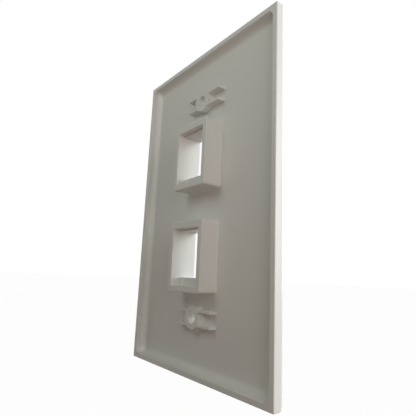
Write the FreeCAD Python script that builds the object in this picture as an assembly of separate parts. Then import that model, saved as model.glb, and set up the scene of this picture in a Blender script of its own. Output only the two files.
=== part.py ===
import FreeCAD, Part
import math
import os

# Wall plate for two snap-in keystone jacks, made as one plastic moulding.
# It stands as it is mounted: X runs across the plate, Z runs up, and Y runs from the front
# face (-Y) to the wall (+Y). The origin is the middle of the plate, on the plane where the
# rim meets the wall. Lengths are in millimetres and angles in degrees.

# Plate
PLATE_WIDTH = 79.4
PLATE_HEIGHT = 123.8
PLATE_DEPTH = 6.5            # front face to the plane of the rim
EDGE_LAND = 2.5              # straight band of the side wall, next to the rim
CROWN_RUN = 8.0              # how far the rounded edge reaches in over the front face
BACK_CORNER_RADIUS = 0.4     # corners of the outline at the rim
FRONT_CORNER_RADIUS = 5.0    # corners of the flat part of the front face

# Hollow back
FACE_THICKNESS = 2.8         # wall between the front face and the floor of the recess
RIM_WIDTH = 1.95
RIM_ROUNDING = 0.35
RECESS_CORNER_RADIUS = 2.6
RECESS_FILLET = 2.4          # between the floor and the side walls
WALL_DRAFT = 1.5

# Ports: a frame round each opening, with ledges that the jack's two catches snap over
PORT_PITCH = 38.1
OPENING_WIDTH = 14.9
OPENING_ABOVE = 8.6          # opening in the front face, measured up from the port's centre
OPENING_BELOW = 8.7
BORE_DRAFT = 1.4             # the bore widens towards the back
UPPER_LEDGE_WIDTH = 0.7
UPPER_LEDGE_DEPTH = 2.3      # from the back of the frame in to the ledge
LOWER_LEDGE_WIDTH = 2.9
LOWER_LEDGE_DEPTH = 3.8
FRAME_STAND = 3.8            # how far the frame stands out behind the rim
FRAME_SIDE_WALL = 2.05
FRAME_TOP_WALL = 2.5
FRAME_BOTTOM_WALL = 2.15
FRAME_CORNER_RADIUS = 1.0
FRAME_EDGE_ROUNDING = 0.25
FRAME_FILLET = 0.5           # between the frame and the floor of the recess

# Screw bosses, for countersunk screws of 3.5 mm
SCREW_SPACING = 83.34
SCREW_HOLE_RADIUS = 2.1
SEAT_RADIUS = 3.6            # of the countersink, where it opens in the front face
SEAT_ANGLE = 82.0            # full angle of the countersink
BOSS_RADIUS = 4.1
BOSS_SETBACK = 0.75          # how far the boss and its fins end before the plane of the rim

# Fins that brace each boss, a pair to the left and a pair to the right
FIN_REACHES = (-10.6, 8.9)   # from the screw's axis to the foot of the fin's end
FIN_END_SLOPE = 0.4
FIN_OFFSET = 2.5             # from the screw's axis up or down to the middle of the fin
FIN_THICKNESS = 0.8

# Control points and weights of an exact quarter turn, as shares of its two radii
QUARTER = ((1, 0), (1, 1), (0, 1))
QUARTER_WEIGHTS = (1, math.sqrt(0.5), 1)

FLOOR_Y = FACE_THICKNESS - PLATE_DEPTH
CUT_MARGIN = 1.0             # how far a cutting solid runs past the face that it opens


def outline(width, height, radius, y, z=0.0):
    """Closed outline of a rectangle with round corners, centred on (0, y, z)."""
    right = width / 2 - radius
    top = height / 2 - radius
    corners = ((right, top), (-right, top), (-right, -top), (right, -top))
    arcs = []
    for quarter, (x, up) in enumerate(corners):
        turns = [math.radians(90 * quarter + step) for step in (0, 45, 90)]
        arcs.append([
            FreeCAD.Vector(x + radius * math.cos(turn), y, z + up + radius * math.sin(turn))
            for turn in turns
        ])
    edges = []
    for arc, following in zip(arcs, arcs[1:] + arcs[:1]):
        edges.append(Part.Arc(*arc).toShape())
        edges.append(Part.LineSegment(arc[2], following[0]).toShape())
    return Part.Wire(edges)


def prism(wire, reach):
    """Solid swept from a flat outline by the vector reach."""
    return Part.Face(wire).extrude(FreeCAD.Vector(*reach))


def edges_at_depth(shape, y):
    """Edges that lie in the plane at depth y."""
    return [
        edge for edge in shape.Edges
        if max(abs(edge.BoundBox.YMin - y), abs(edge.BoundBox.YMax - y)) < 1e-4
    ]


def crown_row(side, up, across, along):
    """Control points down the crown, from its straight band to the front face.

    side and up (-1 or 1) choose the corner of the plate, and across and along the place on that
    corner's quarter turn.
    """
    points = []
    for out, deep in QUARTER:
        inset = CROWN_RUN * (1 - out)
        radius = BACK_CORNER_RADIUS + (FRONT_CORNER_RADIUS - BACK_CORNER_RADIUS) * (1 - out)
        points.append(FreeCAD.Vector(
            side * (PLATE_WIDTH / 2 - inset - radius * (1 - across)),
            -EDGE_LAND - (PLATE_DEPTH - EDGE_LAND) * deep,
            up * (PLATE_HEIGHT / 2 - inset - radius * (1 - along)),
        ))
    return points


def crown_corner(side, up):
    """Face of one corner of the crown: its radius grows from the rim to the front face."""
    surface = Part.BezierSurface()
    surface.increase(2, 2)
    for row, place in enumerate(QUARTER):
        for column, point in enumerate(crown_row(side, up, *place)):
            surface.setPole(row + 1, column + 1, point)
            surface.setWeight(row + 1, column + 1, QUARTER_WEIGHTS[row] * QUARTER_WEIGHTS[column])
    return surface.toShape()


def crown_edge(side, up, place):
    """Edge where a corner of the crown runs into a straight side."""
    curve = Part.BezierCurve()
    curve.setPoles(crown_row(side, up, *place))
    for column, weight in enumerate(QUARTER_WEIGHTS):
        curve.setWeight(column + 1, weight)
    return curve.toShape()


def crowned_block():
    """Solid block of the plate: a straight band, then a crown that rounds over to the front."""
    rim = outline(PLATE_WIDTH, PLATE_HEIGHT, BACK_CORNER_RADIUS, -EDGE_LAND)
    front = outline(
        PLATE_WIDTH - 2 * CROWN_RUN, PLATE_HEIGHT - 2 * CROWN_RUN, FRONT_CORNER_RADIUS, -PLATE_DEPTH,
    )
    faces = [Part.Face(rim), Part.Face(front)]
    beside, above = QUARTER[0], QUARTER[-1]
    for side in (-1, 1):
        faces.extend(crown_corner(side, up) for up in (-1, 1))
        faces.append(Part.makeRuledSurface(crown_edge(side, -1, beside), crown_edge(side, 1, beside)))
        faces.append(Part.makeRuledSurface(crown_edge(-1, side, above), crown_edge(1, side, above)))
    shell = Part.makeShell(faces)
    shell.sewShape()
    return prism(rim, (0, EDGE_LAND, 0)).fuse(Part.makeSolid(shell)).removeSplitter()


def plan_prism(profile, low, high):
    """Solid between two heights, from its outline in plan: points (x, y)."""
    wire = Part.makePolygon([FreeCAD.Vector(x, y, low) for x, y in profile + profile[:1]])
    return prism(wire, (0, 0, high - low))


def side_prism(profile, reach):
    """Solid that reaches as far to both sides, from its outline seen from the side: points (y, z)."""
    wire = Part.makePolygon([FreeCAD.Vector(-reach, y, z) for y, z in profile + profile[:1]])
    return prism(wire, (2 * reach, 0, 0))


def recess():
    """Space behind the face, inside the rim, with draft on its walls and a rounded floor edge."""
    depths = (FLOOR_Y, CUT_MARGIN)
    leans = [y * math.tan(math.radians(WALL_DRAFT)) for y in depths]
    half_widths = [PLATE_WIDTH / 2 - RIM_WIDTH + lean for lean in leans]
    half_heights = [PLATE_HEIGHT / 2 - RIM_WIDTH + lean for lean in leans]
    plan = (
        (-half_widths[0], depths[0]),
        (half_widths[0], depths[0]),
        (half_widths[1], depths[1]),
        (-half_widths[1], depths[1]),
    )
    side = (
        (depths[0], -half_heights[0]),
        (depths[0], half_heights[0]),
        (depths[1], half_heights[1]),
        (depths[1], -half_heights[1]),
    )
    space = plan_prism(plan, -PLATE_HEIGHT, PLATE_HEIGHT).common(side_prism(side, PLATE_WIDTH))
    corners = [edge for edge in space.Edges if edge.BoundBox.YLength > CUT_MARGIN]
    space = space.makeFillet(RECESS_CORNER_RADIUS, corners)
    return space.makeFillet(RECESS_FILLET, edges_at_depth(space, FLOOR_Y))


def hollow_plate():
    """Plate with its recess and a slightly rounded rim."""
    plate = crowned_block().cut(recess())
    return plate.makeFillet(RIM_ROUNDING, edges_at_depth(plate, 0))


def bore_half_width(y):
    """Half the width of a port's bore at depth y."""
    return OPENING_WIDTH / 2 + (y + PLATE_DEPTH) * math.tan(math.radians(BORE_DRAFT))


def port_frame(z):
    """Wall that stands round one port, solid, from the middle of the face to its back edge."""
    width = 2 * (bore_half_width(FRAME_STAND) + FRAME_SIDE_WALL)
    top = OPENING_ABOVE + UPPER_LEDGE_WIDTH + FRAME_TOP_WALL
    bottom = OPENING_BELOW + LOWER_LEDGE_WIDTH + FRAME_BOTTOM_WALL
    start = FLOOR_Y - FACE_THICKNESS / 2
    frame = prism(
        outline(width, top + bottom, FRAME_CORNER_RADIUS, start, z + (top - bottom) / 2),
        (0, FRAME_STAND - start, 0),
    )
    return frame.makeFillet(FRAME_EDGE_ROUNDING, edges_at_depth(frame, FRAME_STAND))


def port_bore(z):
    """Space in one port: the opening in the face and, behind its ledges, the wider pocket."""
    front = -PLATE_DEPTH - CUT_MARGIN
    back = FRAME_STAND + CUT_MARGIN
    upper_ledge = FRAME_STAND - UPPER_LEDGE_DEPTH
    lower_ledge = FRAME_STAND - LOWER_LEDGE_DEPTH
    side_view = (
        (front, OPENING_ABOVE),
        (upper_ledge, OPENING_ABOVE),
        (upper_ledge, OPENING_ABOVE + UPPER_LEDGE_WIDTH),
        (back, OPENING_ABOVE + UPPER_LEDGE_WIDTH),
        (back, -OPENING_BELOW - LOWER_LEDGE_WIDTH),
        (lower_ledge, -OPENING_BELOW - LOWER_LEDGE_WIDTH),
        (lower_ledge, -OPENING_BELOW),
        (front, -OPENING_BELOW),
    )
    plan_view = (
        (-bore_half_width(front), front),
        (bore_half_width(front), front),
        (bore_half_width(back), back),
        (-bore_half_width(back), back),
    )
    height = OPENING_ABOVE + OPENING_BELOW + UPPER_LEDGE_WIDTH + LOWER_LEDGE_WIDTH
    steps = side_prism(tuple((y, z + up) for y, up in side_view), PLATE_WIDTH / 2)
    return steps.common(plan_prism(plan_view, z - height, z + height))


def revolved(profile, z):
    """Solid turned about a screw's axis from points (radius, y)."""
    wire = Part.makePolygon(
        [FreeCAD.Vector(radius, y, z) for radius, y in profile + profile[:1]]
    )
    return Part.Face(wire).revolve(FreeCAD.Vector(0, 0, z), FreeCAD.Vector(0, 1, 0), 360)


def screw_boss(z):
    """Round boss behind one screw hole, still solid."""
    start = FLOOR_Y - FACE_THICKNESS / 2
    end = -BOSS_SETBACK
    return revolved(((0, start), (BOSS_RADIUS, start), (BOSS_RADIUS, end), (0, end)), z)


def screw_hole(z):
    """Space in one boss: straight hole and the countersink for the screw's head."""
    cone_slope = math.tan(math.radians(SEAT_ANGLE / 2))
    seat_depth = (SEAT_RADIUS - SCREW_HOLE_RADIUS) / cone_slope
    return revolved((
        (0, CUT_MARGIN),
        (SCREW_HOLE_RADIUS, CUT_MARGIN),
        (SCREW_HOLE_RADIUS, seat_depth - PLATE_DEPTH),
        (SEAT_RADIUS + CUT_MARGIN * cone_slope, -PLATE_DEPTH - CUT_MARGIN),
        (0, -PLATE_DEPTH - CUT_MARGIN),
    ), z)


def boss_fins(z):
    """The four thin fins that run sideways from one boss."""
    start = FLOOR_Y - FACE_THICKNESS / 2
    fins = []
    for reach in FIN_REACHES:
        crest = reach - math.copysign(FIN_END_SLOPE, reach)
        plan = (
            (0, start),
            (reach, start),
            (reach, FLOOR_Y),
            (crest, -BOSS_SETBACK),
            (0, -BOSS_SETBACK),
        )
        for offset in (-FIN_OFFSET, FIN_OFFSET):
            low = z + offset - FIN_THICKNESS / 2
            fins.append(plan_prism(plan, low, low + FIN_THICKNESS))
    return fins


def frame_feet(plate):
    """Edges where the port frames meet the floor of the recess."""
    reach = bore_half_width(FRAME_STAND) + FRAME_SIDE_WALL + 1e-3
    return [
        edge for edge in edges_at_depth(plate, FLOOR_Y)
        if max(abs(edge.BoundBox.XMin), abs(edge.BoundBox.XMax)) < reach
        and max(abs(edge.BoundBox.ZMin), abs(edge.BoundBox.ZMax)) < SCREW_SPACING / 2 - BOSS_RADIUS
    ]


def faceplate():
    """The whole moulding."""
    ports = (-PORT_PITCH / 2, PORT_PITCH / 2)
    screws = (-SCREW_SPACING / 2, SCREW_SPACING / 2)
    added = [port_frame(z) for z in ports]
    for z in screws:
        added.append(screw_boss(z))
        added.extend(boss_fins(z))
    plate = hollow_plate().fuse(added).removeSplitter()
    plate = plate.makeFillet(FRAME_FILLET, frame_feet(plate))
    cuts = [port_bore(z) for z in ports] + [screw_hole(z) for z in screws]
    return plate.cut(cuts).removeSplitter()


def main():
    os.makedirs("parts", exist_ok=True)
    plate = faceplate()
    solid = plate.Solids[0]
    print("faceplate: solids", len(plate.Solids), "valid", plate.isValid(),
          "volume", round(solid.Volume, 1), "box", plate.BoundBox)
    solid.exportStep("parts/faceplate.step")


main()
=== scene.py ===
"""Two-port keystone faceplate: finish of the moulding, and a plain pale stage round it."""

import math

import bpy
from mathutils import Matrix, Vector


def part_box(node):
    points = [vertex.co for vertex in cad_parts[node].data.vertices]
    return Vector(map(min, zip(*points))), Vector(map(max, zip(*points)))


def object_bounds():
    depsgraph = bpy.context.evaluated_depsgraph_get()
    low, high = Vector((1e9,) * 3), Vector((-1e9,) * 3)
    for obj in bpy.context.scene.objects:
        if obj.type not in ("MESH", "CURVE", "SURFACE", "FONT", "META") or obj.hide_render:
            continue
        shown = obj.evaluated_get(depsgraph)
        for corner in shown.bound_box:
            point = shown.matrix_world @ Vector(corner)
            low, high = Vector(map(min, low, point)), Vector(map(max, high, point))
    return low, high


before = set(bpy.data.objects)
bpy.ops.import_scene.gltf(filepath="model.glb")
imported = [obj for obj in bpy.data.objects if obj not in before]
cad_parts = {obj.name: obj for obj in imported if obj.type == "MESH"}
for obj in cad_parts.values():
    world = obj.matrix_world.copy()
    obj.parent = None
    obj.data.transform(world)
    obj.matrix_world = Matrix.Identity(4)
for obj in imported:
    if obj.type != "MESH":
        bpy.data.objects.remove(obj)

bl_info = {
    "name": "Keystone Faceplate",
    "version": (1, 0, 0),
    "blender": (4, 5, 0),
    "location": "3D Viewport > Sidebar > Faceplate",
    "description": "Dresses a moulded keystone faceplate and sets up a plain studio round it",
    "category": "Object",
}

MM = 0.001

# The moulding stands upright round the origin: its front face is at its lowest Y.
CAD_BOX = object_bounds()
PLATE_LOW, PLATE_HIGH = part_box("faceplate")
HALF_WIDTH = PLATE_HIGH.x
HALF_HEIGHT = PLATE_HIGH.z
FRONT_FACE = PLATE_LOW.y

# The satin finish begins and is complete at these distances, inwards from the outer edge and
# back from the front face.
SATIN_IN_FROM_EDGE = (1.2 * MM, 1.6 * MM)
SATIN_BACK_FROM_FACE = (0.6 * MM, 1.4 * MM)

PLASTIC_IOR = 1.5
GRAIN_DETAIL = 2.0

FLOOR_HALF_SIZE = 3.0
FLOOR_WHITENESS = 0.98  # the rest is the floor's own paint, which takes the part's shadow

SENSOR_WIDTH = 36  # millimetres
NEAREST_SEEN = 5 * MM

# Soft square lamps aimed at the origin: name, place, side length, tint, and the setting that
# holds the power.
LAMPS = (
    ("front_softbox", (-0.70, -0.36, 0.13), 0.50, (0.95, 1.0, 1.0), "key_power"),
    ("fill_softbox", (0.05, -0.80, 0.30), 0.80, (1.0, 1.0, 1.0), "fill_power"),
    ("back_softbox", (0.005, 0.139, 0.095), 0.10, (0.90, 1.0, 0.90), "back_power"),
    ("side_softbox", (-0.192, 0.057, 0.033), 0.12, (0.98, 0.92, 0.88), "side_power"),
)


# ------------------------------------------------------------------ shader expressions

class Value:
    """A shader socket that takes part in Python arithmetic; each operation adds its node."""

    def __init__(self, graph, socket):
        self.graph = graph
        self.socket = socket

    def _math(self, operation, *others):
        return self.graph.node("ShaderNodeMath", {"operation": operation}, dict(enumerate(others)))

    def __mul__(self, other):
        return self._math("MULTIPLY", self, other)

    def __radd__(self, other):
        return self._math("ADD", other, self)

    def __abs__(self):
        return self._math("ABSOLUTE", self)

    def larger(self, other):
        return self._math("MAXIMUM", self, other)

    def ramp(self, start, end):
        """0 up to start, 1 from end on and smooth between them; end may be the smaller."""
        return self.graph.node(
            "ShaderNodeMapRange",
            {"interpolation_type": "SMOOTHSTEP"},
            {"Value": self, "From Min": start, "From Max": end},
        )


class Graph:
    """The node tree of one material or world, emptied and built up again by node()."""

    def __init__(self, owner):
        owner.use_nodes = True
        self.tree = owner.node_tree
        self.tree.nodes.clear()

    def node(self, kind, settings=None, inputs=None, output=0):
        """Adds a node, applies its settings, feeds its sockets and returns one of its outputs."""
        made = self.tree.nodes.new(kind)
        for name, setting in (settings or {}).items():
            setattr(made, name, setting)
        for key, fed in (inputs or {}).items():
            if isinstance(fed, Value):
                self.tree.links.new(fed.socket, made.inputs[key])
            else:
                made.inputs[key].default_value = fed
        if not made.outputs:
            return None
        return Value(self, made.outputs[output])

    def outputs(self, first, names):
        """The named outputs of the node that first comes from."""
        return [Value(self, first.socket.node.outputs[name]) for name in names]


# ------------------------------------------------------------------ settings

class MouldingSettings(bpy.types.PropertyGroup):
    """Finish of the plastic."""

    colour: bpy.props.FloatVectorProperty(
        name="Plastic colour", description="Colour of the white plastic",
        subtype="COLOR", size=3, min=0, max=1, default=(0.86, 0.855, 0.83),
    )
    front_roughness: bpy.props.FloatProperty(
        name="Front roughness", description="Roughness of the polished front and edges",
        min=0, max=1, default=0.28,
    )
    back_roughness: bpy.props.FloatProperty(
        name="Back roughness", description="Roughness of the satin recess behind the face",
        min=0, max=1, default=0.42,
    )
    grain_size: bpy.props.FloatProperty(
        name="Grain size", description="Size of the fine grain that the mould leaves on the back",
        unit="LENGTH", min=0.05 * MM, default=0.35 * MM,
    )
    grain_depth: bpy.props.FloatProperty(
        name="Grain depth", description="Depth of that grain",
        unit="LENGTH", min=0, default=0.01 * MM,
    )


class StageSettings(bpy.types.PropertyGroup):
    """Floor, light and camera."""

    floor_colour: bpy.props.FloatVectorProperty(
        name="Floor colour", description="Colour of the floor as it lights the part",
        subtype="COLOR", size=3, min=0, max=1, default=(0.40, 0.26, 0.20),
    )
    sky_colour: bpy.props.FloatVectorProperty(
        name="Room light", description="Soft light of the room on the shaded side",
        subtype="COLOR", size=3, min=0, max=1, default=(0.02, 0.02, 0.017),
    )
    key_power: bpy.props.FloatProperty(
        name="Key light", description="Power of the large soft light at the front",
        unit="POWER", min=0, default=4.1,
    )
    fill_power: bpy.props.FloatProperty(
        name="Fill light", description="Power of the soft light before the front face",
        unit="POWER", min=0, default=3.0,
    )
    back_power: bpy.props.FloatProperty(
        name="Back light", description="Power of the small soft light behind and above the plate",
        unit="POWER", min=0, default=0.06,
    )
    side_power: bpy.props.FloatProperty(
        name="Side light", description="Power of the small soft light beside and behind the plate",
        unit="POWER", min=0, default=0.1,
    )
    camera_place: bpy.props.FloatVectorProperty(
        name="Camera place", description="Where the camera stands",
        subtype="TRANSLATION", size=3, default=(-0.10939, 0.07930, -0.02686),
    )
    camera_aim: bpy.props.FloatVectorProperty(
        name="Camera aim", description="Point that the camera looks at",
        subtype="TRANSLATION", size=3, default=(-0.00803, 0.0, -0.00286),
    )
    camera_roll: bpy.props.FloatProperty(
        name="Camera roll", description="Turn of the camera about its own line of sight",
        subtype="ANGLE", default=math.radians(2.47),
    )
    focal_length: bpy.props.FloatProperty(
        name="Focal length", description="Lens on a sensor 36 mm wide, in millimetres",
        min=1, default=31.595,
    )


# ------------------------------------------------------------------ materials

def white_plastic(settings):
    """White moulded plastic: polished outside, satin with a fine grain in the recess."""
    material = bpy.data.materials.new("white_moulded_plastic")
    graph = Graph(material)
    point = graph.node("ShaderNodeTexCoord", output="Object")
    split = graph.node("ShaderNodeSeparateXYZ", inputs={0: point})
    x, y, z = graph.outputs(split, "XYZ")
    inside = (
        abs(x).ramp(*(HALF_WIDTH - depth for depth in SATIN_IN_FROM_EDGE))
        * abs(z).ramp(*(HALF_HEIGHT - depth for depth in SATIN_IN_FROM_EDGE))
        * y.ramp(*(FRONT_FACE + depth for depth in SATIN_BACK_FROM_FACE))
    )
    rise = settings.back_roughness - settings.front_roughness
    grain = graph.node("ShaderNodeTexNoise", output="Fac", inputs={
        "Vector": point,
        "Scale": 1 / settings.grain_size,
        "Detail": GRAIN_DETAIL,
    })
    bump = graph.node("ShaderNodeBump", inputs={
        "Strength": 1.0,
        "Distance": settings.grain_depth,
        "Height": grain * inside,
    })
    surface = graph.node("ShaderNodeBsdfPrincipled", inputs={
        "Base Color": list(settings.colour) + [1],
        "Roughness": settings.front_roughness + inside * rise,
        "IOR": PLASTIC_IOR,
        "Normal": bump,
    })
    graph.node("ShaderNodeOutputMaterial", inputs={"Surface": surface})
    return material


def seen_directly(graph):
    """1 for rays from the camera, and for those that a gloss or a clear body sends on."""
    camera_ray = graph.node("ShaderNodeLightPath", output="Is Camera Ray")
    glossy_ray, clear_ray = graph.outputs(camera_ray, ("Is Glossy Ray", "Is Transmission Ray"))
    return camera_ray.larger(glossy_ray.larger(clear_ray))


def pale_floor(settings):
    """Pale floor that shows nearly white, keeps a faint shadow and sends warm light up."""
    material = bpy.data.materials.new("pale_floor")
    graph = Graph(material)
    whiteness = seen_directly(graph) * FLOOR_WHITENESS
    paint = graph.node("ShaderNodeBsdfDiffuse", inputs={"Color": list(settings.floor_colour) + [1]})
    white = graph.node("ShaderNodeEmission", inputs={"Color": [1, 1, 1, 1], "Strength": 1.0})
    surface = graph.node("ShaderNodeMixShader", inputs={0: whiteness, 1: paint, 2: white})
    graph.node("ShaderNodeOutputMaterial", inputs={"Surface": surface})
    return material


# ------------------------------------------------------------------ operators

class FACEPLATE_OT_dress(bpy.types.Operator):
    """Give the moulding its plastic"""

    bl_idname = "faceplate.dress"
    bl_label = "Dress the faceplate"

    def execute(self, context):
        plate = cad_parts["faceplate"]
        plate.data.materials.clear()
        plate.data.materials.append(white_plastic(context.scene.faceplate_moulding))
        return {"FINISHED"}


class FACEPLATE_OT_stage(bpy.types.Operator):
    """Set up the floor, the soft light and the camera"""

    bl_idname = "faceplate.stage"
    bl_label = "Set the stage"

    def execute(self, context):
        scene = context.scene
        settings = scene.faceplate_stage
        self.add_floor(scene, settings)
        self.add_room_light(scene, settings)
        for name, place, size, tint, power in LAMPS:
            self.add_lamp(scene, name, place, size, tint, getattr(settings, power))
        self.add_camera(scene, settings)
        scene.view_settings.view_transform = "Standard"
        return {"FINISHED"}

    def add_floor(self, scene, settings):
        height = CAD_BOX[0].z
        corners = [
            (x * FLOOR_HALF_SIZE, y * FLOOR_HALF_SIZE, height)
            for x, y in ((-1, -1), (1, -1), (1, 1), (-1, 1))
        ]
        mesh = bpy.data.meshes.new("floor")
        mesh.from_pydata(corners, [], [(0, 1, 2, 3)])
        mesh.materials.append(pale_floor(settings))
        floor = bpy.data.objects.new("floor", mesh)
        scene.collection.objects.link(floor)

    def add_room_light(self, scene, settings):
        world = bpy.data.worlds.new("studio")
        graph = Graph(world)
        room = graph.node("ShaderNodeBackground", inputs={"Color": list(settings.sky_colour) + [1]})
        white = graph.node("ShaderNodeBackground", inputs={"Color": [1, 1, 1, 1], "Strength": 1.0})
        surface = graph.node("ShaderNodeMixShader", inputs={0: seen_directly(graph), 1: room, 2: white})
        graph.node("ShaderNodeOutputWorld", inputs={"Surface": surface})
        scene.world = world

    def add_lamp(self, scene, name, place, size, tint, power):
        lamp = bpy.data.lights.new(name, "AREA")
        lamp.size = size
        lamp.energy = power
        lamp.color = tint
        holder = bpy.data.objects.new(name, lamp)
        holder.location = place
        holder.rotation_euler = (-Vector(place)).to_track_quat("-Z", "Y").to_euler()
        scene.collection.objects.link(holder)

    def add_camera(self, scene, settings):
        lens = bpy.data.cameras.new("camera")
        lens.lens = settings.focal_length
        lens.sensor_width = SENSOR_WIDTH
        lens.clip_start = NEAREST_SEEN
        place = Vector(settings.camera_place)
        sight = (Vector(settings.camera_aim) - place).to_track_quat("-Z", "Y").to_matrix()
        turn = sight @ Matrix.Rotation(settings.camera_roll, 3, "Z")
        camera = bpy.data.objects.new("camera", lens)
        camera.matrix_world = Matrix.Translation(place) @ turn.to_4x4()
        scene.collection.objects.link(camera)
        scene.camera = camera


class FACEPLATE_PT_panel(bpy.types.Panel):
    """Settings of the faceplate and its stage"""

    bl_idname = "FACEPLATE_PT_panel"
    bl_label = "Keystone faceplate"
    bl_space_type = "VIEW_3D"
    bl_region_type = "UI"
    bl_category = "Faceplate"

    def draw(self, context):
        for group, operator in (
            (context.scene.faceplate_moulding, FACEPLATE_OT_dress),
            (context.scene.faceplate_stage, FACEPLATE_OT_stage),
        ):
            box = self.layout.box()
            for name in group.__annotations__:
                box.prop(group, name)
            box.operator(operator.bl_idname)


CLASSES = (
    MouldingSettings,
    StageSettings,
    FACEPLATE_OT_dress,
    FACEPLATE_OT_stage,
    FACEPLATE_PT_panel,
)


def register():
    for cls in CLASSES:
        bpy.utils.register_class(cls)
    bpy.types.Scene.faceplate_moulding = bpy.props.PointerProperty(type=MouldingSettings)
    bpy.types.Scene.faceplate_stage = bpy.props.PointerProperty(type=StageSettings)


def unregister():
    del bpy.types.Scene.faceplate_stage
    del bpy.types.Scene.faceplate_moulding
    for cls in reversed(CLASSES):
        bpy.utils.unregister_class(cls)


def main():
    register()
    bpy.ops.faceplate.dress()
    bpy.ops.faceplate.stage()


if __name__ == "__main__":
    main()
